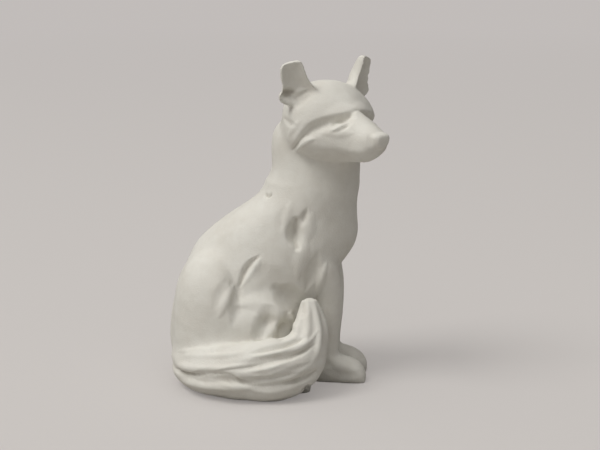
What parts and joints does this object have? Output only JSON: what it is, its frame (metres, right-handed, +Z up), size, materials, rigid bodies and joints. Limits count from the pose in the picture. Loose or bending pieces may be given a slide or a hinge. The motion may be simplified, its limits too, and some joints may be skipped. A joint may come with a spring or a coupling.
{
  "type": "fox figurine",
  "caption": "White figurine of a seated fox, its head turned aside and its tail wrapped round one side, that stands on its flat underside.",
  "frame": {"origin": "on the surface that the figurine stands on, in the fox's middle plane, about midway from its nose to its rump", "axes": "+Z up; the fox's body faces -Y and its right side is -X"},
  "size_m": [0.0419, 0.051, 0.0747],
  "materials": {
    "white_body": "matt off-white, fine-grained, like unglazed clay or cast plaster"
  },
  "bodies": {
    "root": {"torso": "white_body", "neck": "white_body", "head": "white_body", "nose": "white_body", "left_ear": "white_body", "right_ear": "white_body", "left_foreleg": "white_body", "right_foreleg": "white_body", "left_forepaw": "white_body", "right_forepaw": "white_body", "left_haunch": "white_body", "right_haunch": "white_body", "left_hind_foot": "white_body", "right_hind_foot": "white_body", "tail": "white_body"}
  },
  "joints": []
}
